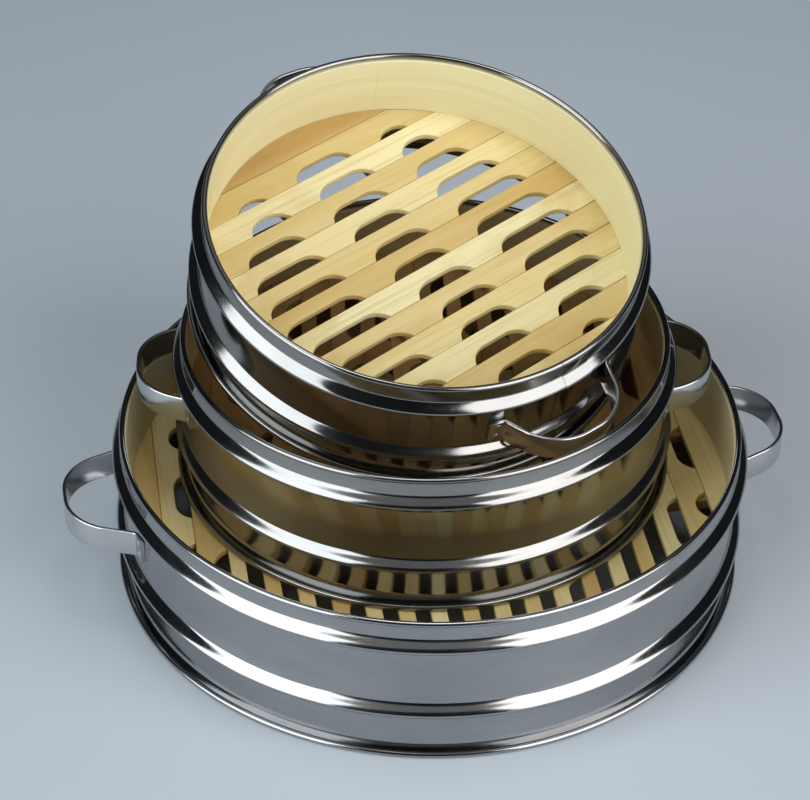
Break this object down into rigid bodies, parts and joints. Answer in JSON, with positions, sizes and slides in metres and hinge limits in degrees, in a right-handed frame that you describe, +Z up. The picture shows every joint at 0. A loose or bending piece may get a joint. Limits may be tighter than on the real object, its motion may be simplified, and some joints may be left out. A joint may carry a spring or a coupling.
{
  "type": "nested bamboo steamer basket set",
  "caption": "Nested set of round bamboo steamer baskets with polished steel bands, slatted floors and strap handles, the top one resting at a tilt.",
  "frame": {"origin": "middle of the large basket's foot, on the ground", "axes": "+Z up; +X along the large basket's two handles, towards the right one; +Y to the back, the side the small basket's high edge is on"},
  "size_m": [0.3254, 0.284, 0.1874],
  "materials": {
    "steel_band": "mirror-polished stainless sheet",
    "steel_strap": "polished stainless strap",
    "bamboo_lining": "smooth pale bamboo sheet",
    "bamboo_frame": "plain bamboo",
    "bamboo_slats": "planed bamboo, pale to golden"
  },
  "bodies": {
    "large": {"large_shell": "steel_band", "large_liner": "bamboo_lining", "large_base_hoop": "bamboo_frame", "large_battens": "bamboo_frame", "large_handle_left": "steel_strap", "large_handle_right": "steel_strap", "large_end_left": "bamboo_slats", "large_slat_01": "bamboo_slats", "large_slat_02": "bamboo_slats", "large_slat_03": "bamboo_slats", "large_slat_04": "bamboo_slats", "large_slat_05": "bamboo_slats", "large_slat_06": "bamboo_slats", "large_slat_07": "bamboo_slats", "large_slat_08": "bamboo_slats", "large_slat_09": "bamboo_slats", "large_slat_10": "bamboo_slats", "large_slat_11": "bamboo_slats", "large_slat_12": "bamboo_slats", "large_slat_13": "bamboo_slats", "large_slat_14": "bamboo_slats", "large_slat_15": "bamboo_slats", "large_slat_16": "bamboo_slats", "large_slat_17": "bamboo_slats", "large_slat_18": "bamboo_slats", "large_end_right": "bamboo_slats"},
    "medium": {"medium_shell": "steel_band", "medium_liner": "bamboo_lining", "medium_base_hoop": "bamboo_frame", "medium_battens": "bamboo_frame", "medium_handle_left": "steel_strap", "medium_handle_right": "steel_strap", "medium_slats": "bamboo_slats"},
    "small": {"small_shell": "steel_band", "small_liner": "bamboo_lining", "small_base_hoop": "bamboo_frame", "small_battens": "bamboo_frame", "small_handle_left": "steel_strap", "small_handle_right": "steel_strap", "small_end_left": "bamboo_slats", "small_slat_01": "bamboo_slats", "small_slat_02": "bamboo_slats", "small_slat_03": "bamboo_slats", "small_slat_04": "bamboo_slats", "small_slat_05": "bamboo_slats", "small_slat_06": "bamboo_slats", "small_slat_07": "bamboo_slats", "small_slat_08": "bamboo_slats", "small_slat_09": "bamboo_slats", "small_slat_10": "bamboo_slats", "small_slat_11": "bamboo_slats", "small_slat_12": "bamboo_slats", "small_end_right": "bamboo_slats"}
  },
  "joints": [
    {"name": "medium_lift", "type": "slide", "parent": "large", "child": "medium", "axis": [0, 0, 1], "range_m": [0, 0.1]},
    {"name": "small_lift", "type": "slide", "parent": "medium", "child": "small", "axis": [0, 0, 1], "range_m": [0, 0.1]}
  ]
}
